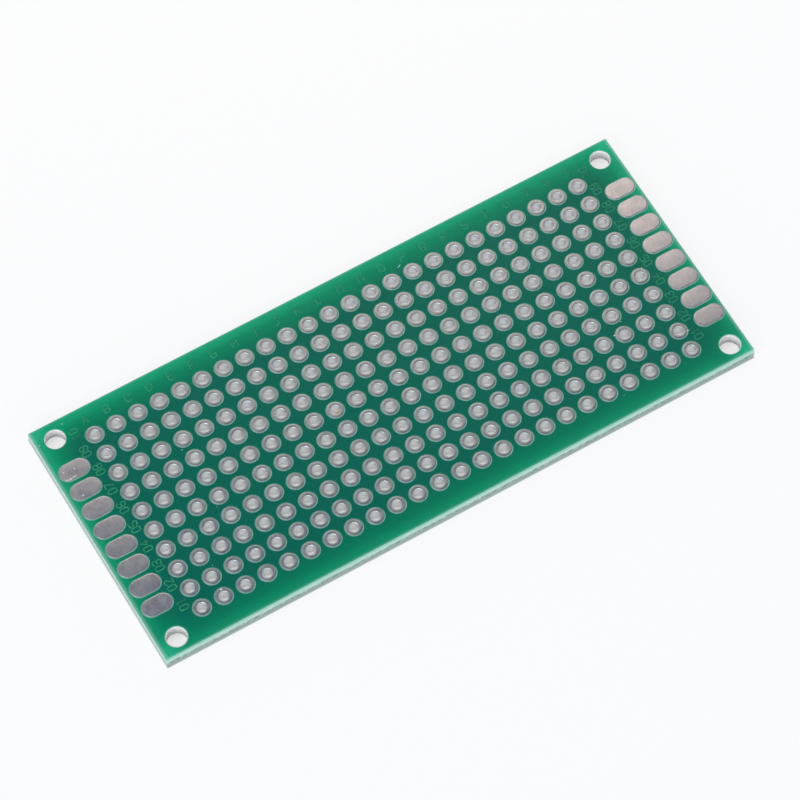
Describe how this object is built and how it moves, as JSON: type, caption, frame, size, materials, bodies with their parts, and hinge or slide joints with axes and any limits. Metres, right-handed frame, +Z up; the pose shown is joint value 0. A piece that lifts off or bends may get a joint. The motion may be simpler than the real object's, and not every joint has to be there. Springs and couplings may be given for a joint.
{
  "type": "prototype board",
  "caption": "Flat rectangular green circuit board for prototyping, with a grid of tinned plated-through holes, oval solder pads along both ends and a mounting hole in each corner.",
  "frame": {"origin": "centre of the board's outline, on the plane that its underside pads rest on", "axes": "+X along the long side from column A to column X, +Y from row 01 to row 10, +Z up out of the top face"},
  "size_m": [0.07, 0.03, 0.0017],
  "materials": {
    "laminate": "glass-fibre epoxy, sawn and snapped edges, drilled walls",
    "mask": "green liquid solder mask, smooth semi-gloss",
    "tinned_barrel": "solder-levelled tin over copper, bright, slightly uneven",
    "tinned_pad": "solder-levelled tin over copper with fine levelling streaks"
  },
  "bodies": {
    "root": {"laminate": "laminate", "solder_mask_top": "mask", "solder_mask_bottom": "mask", "hole_plating_column_a": "tinned_barrel", "hole_plating_column_b": "tinned_barrel", "hole_plating_column_c": "tinned_barrel", "hole_plating_column_d": "tinned_barrel", "hole_plating_column_e": "tinned_barrel", "hole_plating_column_f": "tinned_barrel", "hole_plating_column_g": "tinned_barrel", "hole_plating_column_h": "tinned_barrel", "hole_plating_column_i": "tinned_barrel", "hole_plating_column_j": "tinned_barrel", "hole_plating_column_k": "tinned_barrel", "hole_plating_column_l": "tinned_barrel", "hole_plating_column_m": "tinned_barrel", "hole_plating_column_n": "tinned_barrel", "hole_plating_column_o": "tinned_barrel", "hole_plating_column_p": "tinned_barrel", "hole_plating_column_q": "tinned_barrel", "hole_plating_column_r": "tinned_barrel", "hole_plating_column_s": "tinned_barrel", "hole_plating_column_t": "tinned_barrel", "hole_plating_column_u": "tinned_barrel", "hole_plating_column_v": "tinned_barrel", "hole_plating_column_w": "tinned_barrel", "hole_plating_column_x": "tinned_barrel", "end_pad_left_top_02": "tinned_pad", "end_pad_left_top_03": "tinned_pad", "end_pad_left_top_04": "tinned_pad", "end_pad_left_top_05": "tinned_pad", "end_pad_left_top_06": "tinned_pad", "end_pad_left_top_07": "tinned_pad", "end_pad_left_top_08": "tinned_pad", "end_pad_left_top_09": "tinned_pad", "end_pad_left_bottom_02": "tinned_pad", "end_pad_left_bottom_03": "tinned_pad", "end_pad_left_bottom_04": "tinned_pad", "end_pad_left_bottom_05": "tinned_pad", "end_pad_left_bottom_06": "tinned_pad", "end_pad_left_bottom_07": "tinned_pad", "end_pad_left_bottom_08": "tinned_pad", "end_pad_left_bottom_09": "tinned_pad", "end_pad_right_top_02": "tinned_pad", "end_pad_right_top_03": "tinned_pad", "end_pad_right_top_04": "tinned_pad", "end_pad_right_top_05": "tinned_pad", "end_pad_right_top_06": "tinned_pad", "end_pad_right_top_07": "tinned_pad", "end_pad_right_top_08": "tinned_pad", "end_pad_right_top_09": "tinned_pad", "end_pad_right_bottom_02": "tinned_pad", "end_pad_right_bottom_03": "tinned_pad", "end_pad_right_bottom_04": "tinned_pad", "end_pad_right_bottom_05": "tinned_pad", "end_pad_right_bottom_06": "tinned_pad", "end_pad_right_bottom_07": "tinned_pad", "end_pad_right_bottom_08": "tinned_pad", "end_pad_right_bottom_09": "tinned_pad"}
  },
  "joints": []
}
